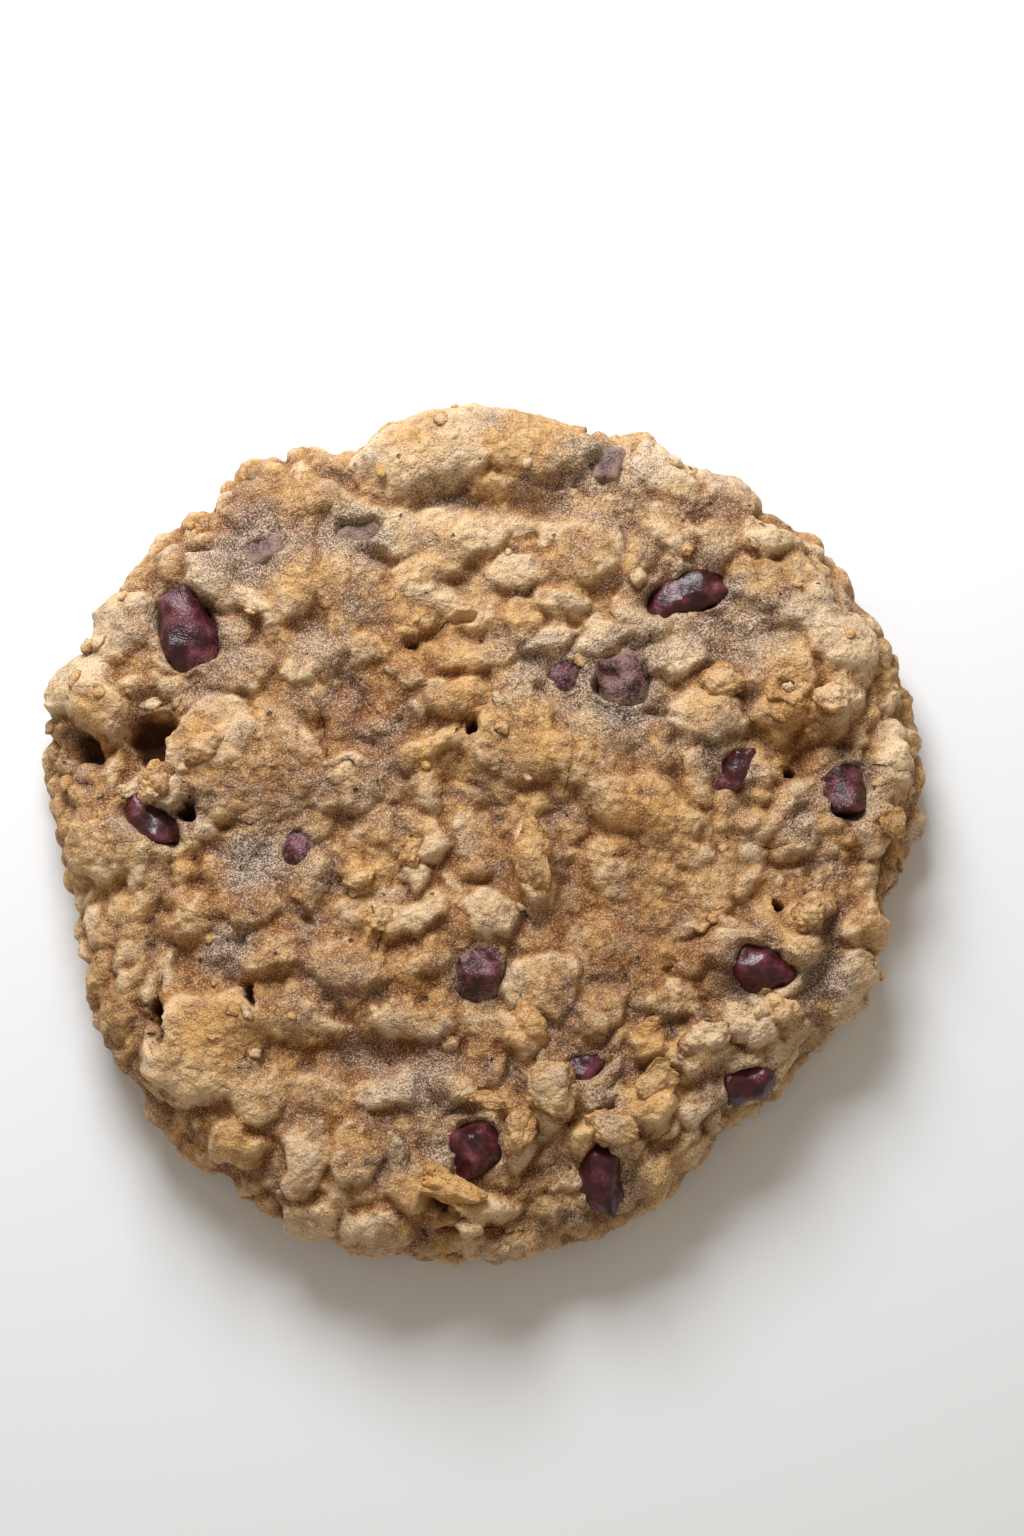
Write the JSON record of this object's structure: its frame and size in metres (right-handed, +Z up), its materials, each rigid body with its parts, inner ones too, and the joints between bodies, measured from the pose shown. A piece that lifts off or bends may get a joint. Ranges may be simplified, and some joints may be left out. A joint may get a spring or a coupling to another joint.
{
  "type": "chocolate chip oatmeal cookie",
  "caption": "Round drop oatmeal cookie with a craggy golden-brown crust, rolled oats in relief and burgundy chocolate chips sunk in its top.",
  "frame": {"origin": "middle of the flat underside, below the centre of the cookie's box", "axes": "+Z up out of the baked top, +Y to the far side with the raised roll of dough, +X to the right"},
  "size_m": [0.1169, 0.1142, 0.0192],
  "materials": {
    "dough": "dry matte baked crumb, golden on the crests and taupe in the hollows",
    "chocolate": "burgundy-brown chocolate, half glossy, with a dusting of flour"
  },
  "bodies": {
    "root": {"dough": "dough", "chip_01": "chocolate", "chip_02": "chocolate", "chip_03": "chocolate", "chip_04": "chocolate", "chip_05": "chocolate", "chip_06": "chocolate", "chip_07": "chocolate", "chip_08": "chocolate", "chip_09": "chocolate", "chip_10": "chocolate", "chip_11": "chocolate", "chip_12": "chocolate", "chip_13": "chocolate", "chip_14": "chocolate", "chip_15": "chocolate", "chip_16": "chocolate", "chip_17": "chocolate"}
  },
  "joints": []
}
